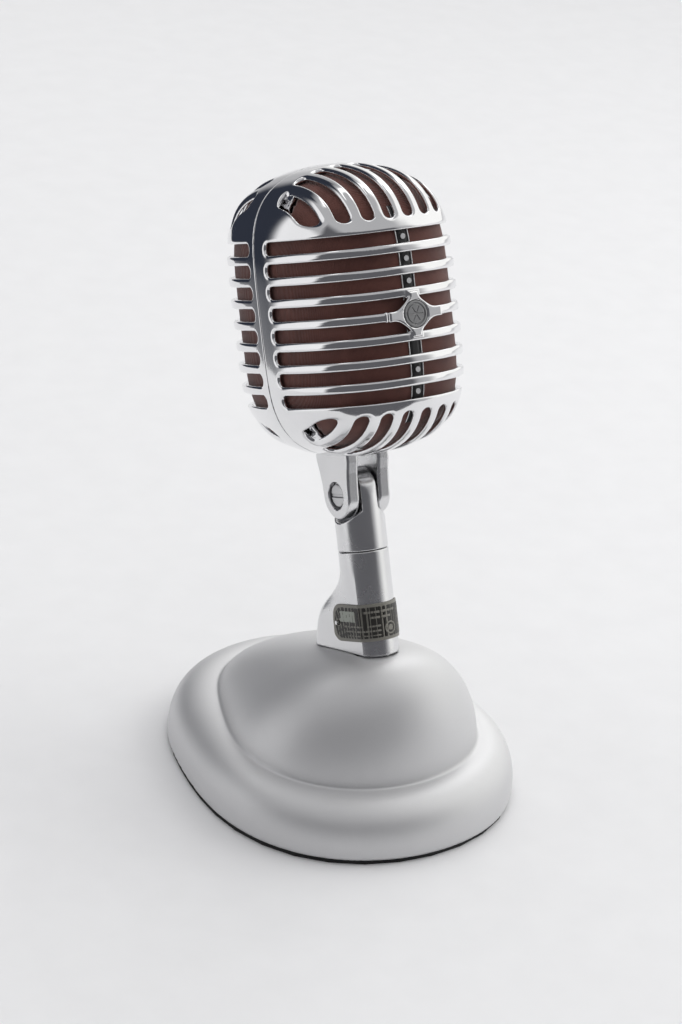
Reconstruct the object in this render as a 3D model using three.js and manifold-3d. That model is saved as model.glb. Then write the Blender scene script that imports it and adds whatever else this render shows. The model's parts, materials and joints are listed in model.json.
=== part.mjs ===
// Moving-coil desk microphone: a ribbed two-shell head that tilts on a forked yoke, a stem that leans
// back from a connector housing, and a two-tier egg-shaped cast stand. Millimetres, +Z up. The front of
// the microphone and of the stand face -Y. The origin is on the surface that the stand rests on.
import * as THREE from 'three';
import { mergeVertices } from 'three/addons/utils/BufferGeometryUtils.js';
import Module from 'manifold-3d';

const wasm = await Module();
wasm.setup();

// ---- Driving dimensions ----------------------------------------------------------------------------

const GAP = 0.3; // running gap between neighbouring pieces
const WALL = 2.4; // die-cast wall of the head shells

// Stand. Each outline is a mean radius and the cosine terms that turn a circle into an egg, by the
// angle from the front.
const RIM_EGG = [78.8, 8.7, 5.8, -0.6, -1.6];
const CREASE_EGG = [59.1, 9.1, 5.4, -2.2, -0.8];
const PAD_THICKNESS = 2.0;
const FLANGE_TOP = 25.6;
const FLANGE_POWER = 2.7; // roundness of the flange's section
const DOME = { centreY: -31.9, topZ: 69.9, slope: 13.3, power: 2.5, root: 1.55 };
const CAST_WALL = 4.5;

// Stem: its axis leaves the stand at SEAT and leans back
const LEAN = 23.6;
const SEAT = new THREE.Vector3(0, -28.8, 68.7);
const STEM_RADIUS = 11.0;
const RING_SEAM = 46.3; // height of the joint between housing and swivel post
const PIVOT_HEIGHT = 71.2;
const TONGUE_HALF = 4.0;
const TONGUE_RADIUS = 11.2;
const NOTCH_RADIUS = 12.0;
const EAR = { inner: 4.95, outer: 10.9, radius: 10.4 };
const STUD_RADIUS = 7.9; // 5/8 inch microphone-stand thread
const PLATE = { low: 6.8, high: 23.2, back: 8.0 };

// Head: a superellipse in plan that closes towards top and bottom
const HEAD_CENTRE = new THREE.Vector3(0, -6.3, 149.0);
const HEAD = { halfWidth: 41.5, halfDepth: 56, top: 65, bottom: 61, planPower: 2.4, topPower: 5, bottomPower: 4.6 };
const SLOT = { count: 8, pitch: 9.27, half: 2.6, frontEnd: -7.8, rearEnd: 5.5 };
const RIB_SLOT = { count: 8, pitch: 9.1, half: 2.8, top: 40.6, bottom: -40.2, end: 12 };
const SEAM = 0.8; // the plane where the two shells meet
const LUG = { x: 28.4, top: 47.8, bottom: -43.2, radius: 3.8, frontEnd: -17.5, rearEnd: 11.5 };
const BRACKET = { front: 11.8, back: 13.8 };
const YOKE_SCREWS = [[-15.4, -3.6], [15.4, -3.6], [-15.4, 7.6], [15.4, 7.6]];
const STRIP_SCREWS = [32.4, 23.2, 13.9, -23.2, -32.4];
const YOKE_OPENING = { halfWidth: 11.4, front: -7.7, back: 20.4 };
const STRIP_OFFSET = 2.65;
const STRIP_THICKNESS = 0.4;
const STRIP_HALF = 2.7;
const CLOTH_OFFSET = 3.35;
const CLOTH_THICKNESS = 0.5;
const BADGE_RADIUS = 5.6;

// Cartridge, on an axis along Y through the head
const CARTRIDGE_Z = 2;
const COIL_RADIUS = 12.0;

// ---- Materials -------------------------------------------------------------------------------------

function material(color, roughness, metalness) {
  return new THREE.MeshStandardMaterial({ color, roughness, metalness });
}

const chrome = material(0xd4d7dc, 0.12, 1);
const satinMetal = material(0xc4c6c9, 0.35, 1);
const silverPaint = material(0xb3b5b8, 0.42, 0.55);
const steel = material(0x9a9da1, 0.4, 1);
const darkSteel = material(0x3b3d40, 0.5, 0.9);
const brass = material(0xb08d4a, 0.35, 1);
const copper = material(0xa65c3a, 0.4, 1);
const silk = material(0x6b3a30, 0.95, 0);
const blackRubber = material(0x1d1d1d, 0.85, 0);
const blackPlastic = material(0x161616, 0.45, 0);
const feltBlack = material(0x232323, 0.95, 0);
const plateBlack = material(0x2a2a28, 0.45, 0.6);
const aluminiumTone = material(0xb8babd, 0.45, 1);
const mylar = material(0xcfc9b0, 0.3, 0.1);
const wireRed = material(0x8a1f1a, 0.6, 0);
const wireBlack = material(0x202020, 0.6, 0);

// ---- Solid helpers ---------------------------------------------------------------------------------

function toSolid(geometry) {
  const plain = geometry.clone();
  plain.deleteAttribute('normal');
  plain.deleteAttribute('uv');
  const merged = mergeVertices(plain, 1e-4);
  const kept = [];
  const { array } = merged.index;
  for (let i = 0; i < array.length; i += 3) {
    const [a, b, c] = array.slice(i, i + 3);
    if (a !== b && b !== c && c !== a) kept.push(a, b, c);
  }
  return new wasm.Manifold(new wasm.Mesh({
    numProp: 3,
    vertProperties: new Float32Array(merged.attributes.position.array),
    triVerts: new Uint32Array(kept),
  }));
}

function toGeometry(solid) {
  const { numProp, vertProperties, triVerts } = solid.getMesh();
  const positions = [];
  for (let i = 0; i < vertProperties.length; i += numProp) {
    positions.push(vertProperties[i], vertProperties[i + 1], vertProperties[i + 2]);
  }
  const geometry = new THREE.BufferGeometry();
  geometry.setAttribute('position', new THREE.Float32BufferAttribute(positions, 3));
  geometry.setIndex(Array.from(triVerts));
  geometry.computeVertexNormals();
  return geometry;
}

const join = (first, ...others) => toGeometry(others.reduce((sum, g) => sum.add(toSolid(g)), toSolid(first)));
const cut = (first, ...tools) => toGeometry(tools.reduce((rest, g) => rest.subtract(toSolid(g)), toSolid(first)));
const common = (first, ...others) =>
  toGeometry(others.reduce((rest, g) => rest.intersect(toSolid(g)), toSolid(first)));

// Axis directions for placing a shape drawn in X-Y and extruded along Z
const BASES = {
  x: new THREE.Matrix4().makeBasis(
    new THREE.Vector3(0, 1, 0), new THREE.Vector3(0, 0, 1), new THREE.Vector3(1, 0, 0)),
  y: new THREE.Matrix4().makeBasis(
    new THREE.Vector3(1, 0, 0), new THREE.Vector3(0, 0, 1), new THREE.Vector3(0, -1, 0)),
  z: new THREE.Matrix4(),
};

// A closed outline of [a, b] points extruded between two places on an axis. The outline's plane is
// Y-Z for axis x, X-Z for axis y and X-Y for axis z.
function prism(points, axis, from, to) {
  const shape = new THREE.Shape(points.map(([a, b]) => new THREE.Vector2(a, b)));
  const geometry = new THREE.ExtrudeGeometry(shape, { depth: to - from, bevelEnabled: false });
  geometry.applyMatrix4(BASES[axis]);
  const shift = { x: [from, 0, 0], y: [0, to, 0], z: [0, 0, from] }[axis];
  return geometry.translate(...shift);
}

// A round bar along an axis, from one place to another, centred on the other two coordinates
function bar(radius, axis, from, to, [x, y, z] = [0, 0, 0], sides = 20) {
  const geometry = new THREE.CylinderGeometry(radius, radius, to - from, sides);
  if (axis === 'x') geometry.rotateZ(Math.PI / 2);
  if (axis === 'z') geometry.rotateX(Math.PI / 2);
  const middle = (from + to) / 2;
  const shift = { x: [middle, 0, 0], y: [0, middle, 0], z: [0, 0, middle] }[axis];
  return geometry.translate(shift[0] + x, shift[1] + y, shift[2] + z);
}

function block([x0, x1], [y0, y1], [z0, z1]) {
  const geometry = new THREE.BoxGeometry(x1 - x0, y1 - y0, z1 - z0);
  return geometry.translate((x0 + x1) / 2, (y0 + y1) / 2, (z0 + z1) / 2);
}

// A ring turned about an axis along Y, from its section as [radius, y] points
function turnedY(points, [x, y, z] = [0, 0, 0], sides = 32) {
  const closed = [...points, points[0]].map(([r, h]) => new THREE.Vector2(r, h));
  return new THREE.LatheGeometry(closed, sides).translate(x, y, z);
}

// A solid skinned over rings of points of equal count, from the lowest to the highest
function loft(rings) {
  const count = rings[0].length;
  const positions = rings.flat().flatMap((p) => [p.x, p.y, p.z]);
  const index = [];
  for (let k = 0; k < rings.length - 1; k += 1) {
    for (let i = 0; i < count; i += 1) {
      const a = k * count + i;
      const b = k * count + ((i + 1) % count);
      index.push(a, b, b + count, a, b + count, a + count);
    }
  }
  for (const [ring, first, flip] of [[rings[0], 0, true], [rings.at(-1), (rings.length - 1) * count, false]]) {
    const middle = new THREE.Vector3();
    ring.forEach((p) => middle.addScaledVector(p, 1 / count));
    const hub = positions.length / 3;
    positions.push(middle.x, middle.y, middle.z);
    for (let i = 0; i < count; i += 1) {
      const a = first + i;
      const b = first + ((i + 1) % count);
      index.push(...(flip ? [hub, b, a] : [hub, a, b]));
    }
  }
  const geometry = new THREE.BufferGeometry();
  geometry.setAttribute('position', new THREE.Float32BufferAttribute(positions, 3));
  geometry.setIndex(index);
  return geometry;
}

// Points of an arc in a plane, from one angle to another in degrees
function arc(centreA, centreB, radius, from, to, steps) {
  const points = [];
  for (let i = 0; i <= steps; i += 1) {
    const angle = THREE.MathUtils.degToRad(from + ((to - from) * i) / steps);
    points.push([centreA + radius * Math.cos(angle), centreB + radius * Math.sin(angle)]);
  }
  return points;
}

function mesh(group, name, geometry, finish) {
  const piece = new THREE.Mesh(geometry, finish);
  piece.name = name;
  group.add(piece);
}

// A wire of round section along points
function wire(points, radius) {
  const curve = new THREE.CatmullRomCurve3(points.map((p) => new THREE.Vector3(...p)));
  const section = new THREE.Shape(arc(0, 0, radius, 0, 300, 5).map(([a, b]) => new THREE.Vector2(a, b)));
  return new THREE.ExtrudeGeometry(section, { steps: 8, extrudePath: curve, bevelEnabled: false });
}

// A slotted cheese-head screw along an axis: head from `face` outwards by `headLength`, shank inwards
function screw({ axis, face, headRadius, headLength, shankRadius, shankLength, at, sign = 1 }) {
  const ends = (a, b) => [Math.min(a, b), Math.max(a, b)];
  const head = bar(headRadius, axis, ...ends(face, face + sign * headLength), at, 16);
  const shank = bar(shankRadius, axis, ...ends(face + sign * 0.5, face - sign * shankLength), at, 12);
  const [x, y, z] = at;
  const slotDepth = ends(face + sign * headLength * 0.5, face + sign * (headLength + 1));
  const wide = headRadius + 1;
  const narrow = headRadius * 0.14;
  const slots = {
    x: block([slotDepth[0] + x, slotDepth[1] + x], [y - narrow, y + narrow], [z - wide, z + wide]),
    y: block([x - wide, x + wide], [slotDepth[0] + y, slotDepth[1] + y], [z - narrow, z + narrow]),
    z: block([x - wide, x + wide], [y - narrow, y + narrow], [slotDepth[0] + z, slotDepth[1] + z]),
  };
  return cut(join(head, shank), slots[axis]);
}

// ---- Stand -----------------------------------------------------------------------------------------

const EGG_STEPS = 36;

function eggRadius(egg, angle) {
  return egg.reduce((sum, term, k) => sum + term * Math.cos(k * angle), 0);
}

function eggRing(egg, inset, z) {
  const ring = [];
  for (let i = 0; i < EGG_STEPS; i += 1) {
    const angle = (2 * Math.PI * i) / EGG_STEPS;
    const radius = eggRadius(egg, angle) - inset;
    ring.push(new THREE.Vector3(radius * Math.sin(angle), -radius * Math.cos(angle), z));
  }
  return ring;
}

// The flange rises from the rim and rounds over to the crease
function flangeRing(height, inset) {
  const rim = eggRing(RIM_EGG, inset, 0);
  const crease = eggRing(CREASE_EGG, inset, 0);
  const share = (1 - height ** FLANGE_POWER) ** (1 / FLANGE_POWER);
  const z = PAD_THICKNESS + GAP + (FLANGE_TOP - inset - PAD_THICKNESS - GAP) * height;
  return crease.map((p, i) => new THREE.Vector3().lerpVectors(p, rim[i], share).setZ(z));
}

// The dome shrinks from the crease to its crown; its top plane slopes down to the back
function domeRing(share, inset, lift = 0) {
  const slope = Math.tan(THREE.MathUtils.degToRad(DOME.slope));
  return eggRing(CREASE_EGG, inset, 0).map((p) => {
    const x = p.x * share;
    const y = DOME.centreY + (p.y - DOME.centreY) * share;
    const plane = DOME.topZ - slope * (y - SEAT.y);
    const rise = (plane - FLANGE_TOP) * (1 - share ** DOME.power) ** (1 / DOME.root);
    return new THREE.Vector3(x, y, FLANGE_TOP + rise - inset + lift);
  });
}

function standShape(inset, shares, heights) {
  const rings = heights.map((height) => flangeRing(height, inset));
  return loft([...rings, ...shares.map((share) => domeRing(share, inset))]);
}

const stand = new THREE.Group();
const microphone = new THREE.Group();
microphone.position.copy(SEAT);
microphone.rotation.x = -THREE.MathUtils.degToRad(LEAN);
const head = new THREE.Group();
head.position.copy(HEAD_CENTRE);
microphone.add(head);

// Turns a piece built about the stem's axis into the stand's frame
function onStem(geometry) {
  return geometry.rotateX(-THREE.MathUtils.degToRad(LEAN)).translate(SEAT.x, SEAT.y, SEAT.z);
}

const SPOT_FACE = { radius: 9.6, depth: -3.0 };
const PLATE_TOP = 5.6;
const SCREW_SPOTS = [[45, -38], [-45, -38], [0, 48]];
const DOME_SHARES = [0.975, 0.9, 0.77, 0.58, 0.32, 0.06];
const FLANGE_HEIGHTS = [0, 0.4, 0.68, 0.86, 0.96, 1];

function buildStand() {
  mesh(stand, 'foot_pad', loft([eggRing(RIM_EGG, 0.9, 0), eggRing(RIM_EGG, 0.9, PAD_THICKNESS)]), feltBlack);

  const core = standShape(1, DOME_SHARES, FLANGE_HEIGHTS);
  const cavity = loft([
    eggRing(RIM_EGG, CAST_WALL, -1),
    flangeRing(0.6, CAST_WALL),
    flangeRing(0.93, CAST_WALL),
    ...[0.98, 0.8, 0.45, 0.06].map((share) => domeRing(share, CAST_WALL)),
  ]);
  const rebate = loft([eggRing(RIM_EGG, 2.7, -1), eggRing(RIM_EGG, 2.7, PLATE_TOP + GAP)]);
  const boss = common(onStem(bar(15, 'z', -24, 6)), core);
  const posts = SCREW_SPOTS.map(([x, y]) =>
    common(bar(5, 'z', PLATE_TOP + GAP, 60, [x, y, 0], 8), core));
  const shell = cut(join(cut(standShape(0, DOME_SHARES, FLANGE_HEIGHTS), cavity), boss, ...posts), rebate);
  mesh(stand, 'base_casting', cut(
    shell,
    onStem(bar(SPOT_FACE.radius, 'z', SPOT_FACE.depth, 14)),
    onStem(bar(STUD_RADIUS + GAP, 'z', -60, 2)),
    ...SCREW_SPOTS.map(([x, y]) => bar(2.3, 'z', 0, 20, [x, y, 0], 8)),
  ), silverPaint);

  const plateHoles = SCREW_SPOTS.map(([x, y]) => join(
    bar(2.3, 'z', 0, 8, [x, y, 0], 12),
    bar(4.6, 'z', 0, 4.2, [x, y, 0], 16),
  ));
  const plateBlank = loft([
    eggRing(RIM_EGG, 3.0, PAD_THICKNESS + GAP),
    eggRing(RIM_EGG, 3.0, PLATE_TOP),
  ]);
  mesh(stand, 'bottom_plate', cut(plateBlank, ...plateHoles), steel);
  SCREW_SPOTS.forEach(([x, y], i) => {
    mesh(stand, `base_screw_${i + 1}`, screw({
      axis: 'z', face: 4.2 - GAP, headRadius: 4.2, headLength: 1.4, shankRadius: 2, shankLength: 13,
      at: [x, y, 0], sign: -1,
    }), steel);
  });

  mesh(stand, 'stand_stud', onStem(join(
    bar(STUD_RADIUS, 'z', -32, 12),
    bar(SPOT_FACE.radius - GAP, 'z', SPOT_FACE.depth + GAP, -1.2),
  )), steel);
  mesh(stand, 'stud_washer', onStem(cut(
    bar(13, 'z', -26.2, -24.3),
    bar(STUD_RADIUS + GAP, 'z', -30, -20),
  )), steel);
  mesh(stand, 'stud_nut', onStem(cut(
    bar(13.2, 'z', -31.5, -26.5, [0, 0, 0], 6),
    bar(STUD_RADIUS + GAP, 'z', -40, -20),
  )), steel);
}

// ---- Stem ------------------------------------------------------------------------------------------

// Section levels of the connector housing: height, back, half width, corner radius, and how far the
// straight sides have turned into the post's circle
const HOUSING_LEVELS = [
  [-4, 30.2, 14.7, 6, 0],
  [4, 29.0, 14.3, 6, 0],
  [16.5, 26.0, 13.3, 6, 0],
  [22.5, 24.0, 12.8, 6.2, 0.1],
  [27, 20.3, 12.3, 7, 0.3],
  [31, 16.8, 11.8, 8, 0.5],
  [34.7, 13.8, 11.4, 9, 0.75],
  [38.8, 11.0, 11.0, 11, 1],
  [RING_SEAM - GAP / 2, 11.0, 11.0, 11, 1],
];
const FRONT_ARC = 59; // degrees to each side of the front where the round nose meets the sides

function housingRing([height, back, halfWidth, corner, round], inset) {
  const radius = STEM_RADIUS - inset;
  const half = [];
  for (let i = 0; i <= 6; i += 1) {
    const angle = THREE.MathUtils.degToRad((FRONT_ARC * i) / 6);
    half.push([radius * Math.sin(angle), -radius * Math.cos(angle)]);
  }
  const [startX, startY] = half.at(-1);
  const cornerY = back - inset - Math.max(corner - inset, 0.5);
  for (let i = 1; i <= 3; i += 1) {
    const share = i / 4;
    const angle = THREE.MathUtils.degToRad(FRONT_ARC + (90 - FRONT_ARC) * share);
    const flatX = startX + (halfWidth - inset - startX) * share;
    const flatY = startY + (cornerY - startY) * share;
    half.push([
      flatX + (radius * Math.sin(angle) - flatX) * round,
      flatY + (-radius * Math.cos(angle) - flatY) * round,
    ]);
  }
  const cornerRadius = Math.max(corner - inset, 0.5);
  for (const [a, b] of arc(halfWidth - inset - cornerRadius, cornerY, cornerRadius, 0, 84, 4)) {
    half.push([a, b]);
  }
  const left = half.slice(1).reverse().map(([a, b]) => [-a, b]);
  return [...half, [0, back - inset], ...left].map(([a, b]) => new THREE.Vector3(a, b, height));
}

const housingSolid = (inset) => loft(HOUSING_LEVELS.map((level) => housingRing(level, inset)));

// Turns a solid of the stand into the stem's frame
function fromStand(geometry) {
  return geometry.translate(-SEAT.x, -SEAT.y, -SEAT.z).rotateX(THREE.MathUtils.degToRad(LEAN));
}

const SOCKET = { height: 14.5, front: 11, radius: 7.3 };
const PIN_SPREAD = 3.0;

function buildStem() {
  const skirt = new THREE.BoxGeometry(60, 90, 20)
    .translate(0, 0, -10)
    .rotateX(Math.atan(0.115))
    .translate(0, -6.9, 0.3);
  const body = cut(housingSolid(0), skirt, fromStand(standShape(-GAP, DOME_SHARES, FLANGE_HEIGHTS)));
  mesh(microphone, 'connector_housing', cut(
    join(body, bar(9.0, 'z', -0.9, 4)),
    bar(STUD_RADIUS + GAP, 'z', -6, 14),
    bar(4, 'z', 10, 32),
    bar(8.2, 'z', 30, 60),
    bar(SOCKET.radius + GAP, 'y', SOCKET.front, 40, [0, 0, SOCKET.height]),
    bar(3, 'y', 0, SOCKET.front + 2, [0, 0, 19.5], 12),
    bar(2.3, 'y', 5, 14, [0, 0, 41], 12),
    bar(1.2, 'x', 9, 16, [0, 7.6, 15], 12),
    bar(1.2, 'x', -16, -9, [0, 7.6, 15], 12),
  ), satinMetal);

  mesh(microphone, 'socket_sleeve', cut(
    bar(SOCKET.radius, 'y', SOCKET.front + GAP, 27.5, [0, 0, SOCKET.height]),
    bar(5.8, 'y', SOCKET.front + 1.8, 40, [0, 0, SOCKET.height]),
    bar(2.6, 'y', 0, 40, [0, 0, SOCKET.height], 12),
  ), satinMetal);
  const pinSpots = [90, 210, 330].map((degrees) => {
    const angle = THREE.MathUtils.degToRad(degrees);
    return [PIN_SPREAD * Math.cos(angle), 0, SOCKET.height + PIN_SPREAD * Math.sin(angle)];
  });
  const insertBack = SOCKET.front + 6.5;
  mesh(microphone, 'socket_insert', cut(
    bar(5.5, 'y', SOCKET.front + 2.1, insertBack, [0, 0, SOCKET.height]),
    ...pinSpots.map((at) => bar(1.1, 'y', SOCKET.front + 3.6, 40, at, 8)),
  ), blackPlastic);
  pinSpots.forEach((at, i) => {
    mesh(microphone, `contact_pin_${i + 1}`, bar(0.8, 'y', SOCKET.front + 3.9, 22.4, at, 8), brass);
  });

  const wrap = cut(housingSolid(-0.75), housingSolid(-0.25));
  const plateOutline = [
    [-20, PLATE.low],
    ...arc(PLATE.back - 2, PLATE.low + 5, 5, -90, 0, 4),
    ...arc(PLATE.back - 2, PLATE.high - 5, 5, 0, 90, 4),
    [-20, PLATE.high],
  ];
  mesh(microphone, 'nameplate', cut(
    common(wrap, prism(plateOutline, 'x', -20, 20)),
    bar(1.2, 'x', -20, 20, [0, 7.6, 15], 12),
  ), plateBlack);
  for (const [name, from, to] of [['nameplate_pin_1', -13.4, -9.3], ['nameplate_pin_2', 9.3, 13.4]]) {
    mesh(microphone, name, bar(0.9, 'x', from, to, [0, 7.6, 15], 12), satinMetal);
  }

  mesh(microphone, 'set_screw', cut(
    bar(2, 'y', 8.2, 10.9, [0, 0, 41], 12),
    block([-3, 3], [10.1, 12], [40.7, 41.3]),
  ), darkSteel);

  mesh(microphone, 'post_lead', wire([
    [0, 10.4, 20.2], [0, 5, 19.6], [0, 1, 23], [0, 0, 32], [0, 0, 44], [0, 0, 52],
  ], 1.3), wireBlack);

  const lower = join(
    bar(STEM_RADIUS, 'z', RING_SEAM + GAP / 2, PIVOT_HEIGHT, [0, 0, 0], 28),
    bar(7.9, 'z', 32, RING_SEAM + 1),
  );
  const roundTop = bar(TONGUE_RADIUS, 'x', -20, 20, [0, 0, PIVOT_HEIGHT], 28);
  const upper = common(
    bar(STEM_RADIUS, 'z', PIVOT_HEIGHT - 1, PIVOT_HEIGHT + 20, [0, 0, 0], 28),
    roundTop,
  );
  const notch = bar(NOTCH_RADIUS, 'x', TONGUE_HALF, 30, [0, 0, PIVOT_HEIGHT], 28);
  const notchFar = bar(NOTCH_RADIUS, 'x', -30, -TONGUE_HALF, [0, 0, PIVOT_HEIGHT], 28);
  const above = block([TONGUE_HALF, 30], [-30, 30], [PIVOT_HEIGHT, 120]);
  const aboveFar = block([-30, -TONGUE_HALF], [-30, 30], [PIVOT_HEIGHT, 120]);
  mesh(microphone, 'swivel_post', cut(
    join(lower, upper), notch, notchFar, above, aboveFar,
    bar(5, 'z', 20, 55),
    bar(3.3, 'x', -20, 20, [0, 0, PIVOT_HEIGHT]),
  ), satinMetal);
  for (const [name, side] of [['friction_washer_1', -1], ['friction_washer_2', 1]]) {
    const [near, far] = [TONGUE_HALF + GAP, EAR.inner - GAP].map((x) => x * side).sort((a, b) => a - b);
    mesh(microphone, name, cut(
      bar(8, 'x', near, far, [0, 0, PIVOT_HEIGHT]),
      bar(3.3, 'x', -20, 20, [0, 0, PIVOT_HEIGHT]),
    ), steel);
  }
}

// ---- Head shells -----------------------------------------------------------------------------------

const HEAD_LEVELS = [0, 0.45, 0.68, 0.83, 0.93, 0.98, 0.9995];
const INNER_LEVELS = [0, 0.48, 0.7, 0.85, 0.95, 0.9995];

function headSolid(inset, columns = 24, levels = INNER_LEVELS) {
  const ring = (z, share) => {
    const points = [];
    for (let i = 0; i < columns; i += 1) {
      const angle = (2 * Math.PI * i) / columns;
      const side = Math.sin(angle);
      const front = -Math.cos(angle);
      const power = 2 / HEAD.planPower;
      points.push(new THREE.Vector3(
        (HEAD.halfWidth - inset) * share * Math.sign(side) * Math.abs(side) ** power,
        (HEAD.halfDepth - inset) * share * Math.sign(front) * Math.abs(front) ** power,
        z,
      ));
    }
    return points;
  };
  const half = (height, power, sign) => levels.map((level) =>
    ring(sign * (height - inset) * level, Math.sqrt(1 - level ** power)));
  const lower = half(HEAD.bottom, HEAD.bottomPower, -1).reverse();
  return loft([...lower.slice(0, -1), ...half(HEAD.top, HEAD.topPower, 1)]);
}

// How far the strip's faceted front line has drawn back from its foremost point at a height
function sag(z) {
  const [height, power] = z > 0 ? [HEAD.top, HEAD.topPower] : [HEAD.bottom, HEAD.bottomPower];
  const level = Math.abs(z) / (height - STRIP_OFFSET);
  const next = INNER_LEVELS.findIndex((value) => value > level);
  const [low, high] = [INNER_LEVELS[next - 1], INNER_LEVELS[next]];
  const [wide, narrow] = [low, high].map((value) => Math.sqrt(1 - value ** power));
  const share = wide + ((narrow - wide) * (level - low)) / (high - low);
  return (HEAD.halfDepth - STRIP_OFFSET) * (1 - share);
}

// A slot outline: a long bar with a rounded end, seen in a plane. The end faces along +/- the first
// coordinate (side) at `end`; the slot is centred on `middle` in the second one.
function slotOutline(end, far, middle, half) {
  const sign = Math.sign(end - far);
  const centre = end - sign * half;
  const [from, to] = sign > 0 ? [-90, 90] : [270, 90];
  const round = arc(centre, middle, half, from, to, 3);
  const outline = [...round, [far, middle + half], [far, middle - half]];
  return outline;
}

const swap = (points) => points.map(([a, b]) => [b, a]);

// Cutters of one shell: `side` is -1 for the front and 1 for the rear
function slotCutters(side) {
  const cutters = [];
  const end = side < 0 ? SLOT.frontEnd : SLOT.rearEnd;
  for (let i = 0; i < SLOT.count; i += 1) {
    const z = (i - (SLOT.count - 1) / 2) * SLOT.pitch;
    cutters.push(prism(slotOutline(end, 80 * side, z, SLOT.half), 'x', -60, 60));
  }
  for (let i = 0; i < RIB_SLOT.count; i += 1) {
    const x = (i - (RIB_SLOT.count - 1) / 2) * RIB_SLOT.pitch;
    for (const [end2, far] of [[RIB_SLOT.top, 90], [RIB_SLOT.bottom, -90]]) {
      const [from, to] = [Math.min(RIB_SLOT.end * side, 90 * side), Math.max(RIB_SLOT.end * side, 90 * side)];
      const drop = prism(swap(slotOutline(end2, far, x, RIB_SLOT.half)), 'y', from, to);
      const [low, high] = [Math.min(end2, far), Math.max(end2, far)];
      const run = prism(swap(slotOutline(RIB_SLOT.end * side, 90 * side, x, RIB_SLOT.half)), 'z', low, high);
      cutters.push(common(drop, run));
    }
  }
  return cutters;
}

const LUG_SPOTS = [[-1, 1], [1, 1], [-1, -1], [1, -1]].map(([side, up]) => [
  side * LUG.x,
  up > 0 ? LUG.top : LUG.bottom,
]);

function lugs(from, to) {
  const limit = headSolid(WALL - 0.5);
  return LUG_SPOTS.map(([x, z]) => {
    const web = block([x - 2, x + 2], [from, to], z > 0 ? [z, z + 15] : [z - 15, z]);
    return common(join(bar(LUG.radius, 'y', from, to, [x, 0, z], 12), web), limit);
  });
}

function buildShells() {
  const outer = headSolid(0, 28, HEAD_LEVELS);
  const hollow = headSolid(WALL);
  const opening = block([-YOKE_OPENING.halfWidth, YOKE_OPENING.halfWidth], [YOKE_OPENING.front, YOKE_OPENING.back], [-70, -45]);
  const seamFront = [-80, SEAM - GAP / 2];
  const seamRear = [SEAM + GAP / 2, 80];
  const wall = cut(outer, hollow, opening);
  const lugHoles = LUG_SPOTS.map(([x, z]) => bar(1.8, 'y', -7, 15, [x, 0, z], 12));
  const yokeHoles = YOKE_SCREWS.map(([x, y]) => bar(1.7, 'z', -58.2, -40, [x, y, 0], 12));

  const quarter = [[2.4, 7.6], [3.3, 5.7], [5.3, 3.7], [7.8, 2.5], [11, 2.1]];
  const mirrored = (sx, sz) => quarter.map(([a, b]) => [a * sx, b * sz]);
  const diamond = [
    ...mirrored(1, 1).reverse().reverse(),
    ...mirrored(1, -1).reverse(),
    ...mirrored(-1, -1),
    ...mirrored(-1, 1).reverse(),
  ].reverse();
  const boss = join(prism(diamond, 'y', -57, -53.75), bar(7.6, 'y', -57, -53.75));
  const frontWall = common(wall, block([-60, 60], seamFront, [-80, 80]));
  mesh(head, 'front_shell', cut(
    join(cut(frontWall, ...slotCutters(-1)), boss, ...lugs(LUG.frontEnd, SEAM - GAP / 2)),
    bar(BADGE_RADIUS + GAP, 'y', -60, -55.4, [0, 0, 0]),
    ...lugHoles, ...yokeHoles,
  ), chrome);
  const rearWall = common(wall, block([-60, 60], seamRear, [-80, 80]));
  mesh(head, 'rear_shell', cut(
    join(cut(rearWall, ...slotCutters(1)), ...lugs(SEAM + GAP / 2, LUG.rearEnd)),
    ...lugHoles, ...yokeHoles,
  ), chrome);

  const lining = cut(headSolid(CLOTH_OFFSET), headSolid(CLOTH_OFFSET + CLOTH_THICKNESS));
  const clear = [
    ...LUG_SPOTS.map(([x, z]) => block([x - 5.2, x + 5.2], [LUG.frontEnd - 1.5, LUG.rearEnd + 6], z > 0 ? [z - 5, 70] : [-70, z + 5])),
    block([-20.6, 20.6], [-10, 23], [-70, -48]),
  ];
  mesh(head, 'front_cloth', cut(common(lining, block([-60, 60], [-80, SEAM - 0.6], [-80, 80])), ...clear), silk);
  mesh(head, 'rear_cloth', cut(common(lining, block([-60, 60], [SEAM + 0.6, 80], [-80, 80])), ...clear), silk);

  const stripHoles = STRIP_SCREWS.map((z) => bar(0.9, 'y', -60, -40, [0, 0, z], 8));
  const stripBand = cut(headSolid(STRIP_OFFSET), headSolid(STRIP_OFFSET + STRIP_THICKNESS));
  mesh(head, 'centre_strip', cut(
    common(stripBand, block([-STRIP_HALF, STRIP_HALF], [-80, -10], [-46, 46])),
    ...stripHoles,
  ), darkSteel);
  STRIP_SCREWS.forEach((z, i) => {
    mesh(head, `strip_screw_${i + 1}`, join(
      bar(1.2, 'y', -54.6 + sag(z), -53.85 + sag(z), [0, 0, z], 10),
      bar(0.6, 'y', -54.1 + sag(z), -52.85 + sag(z), [0, 0, z], 8),
    ), satinMetal);
  });

  mesh(head, 'badge_disc', bar(BADGE_RADIUS, 'y', -56.9, -55.7, [0, 0, 0], 24), satinMetal);

  LUG_SPOTS.forEach(([x, z], i) => {
    mesh(head, `shell_screw_${i + 1}`, screw({
      axis: 'y', face: LUG.rearEnd + 2.6, headRadius: 2.4, headLength: 1.8, shankRadius: 1.5, shankLength: 19,
      at: [x, 0, z],
    }), steel);
  });
}

// ---- Yoke ------------------------------------------------------------------------------------------

const PIVOT = new THREE.Vector3(0, -HEAD_CENTRE.y, PIVOT_HEIGHT - HEAD_CENTRE.z);

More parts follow.
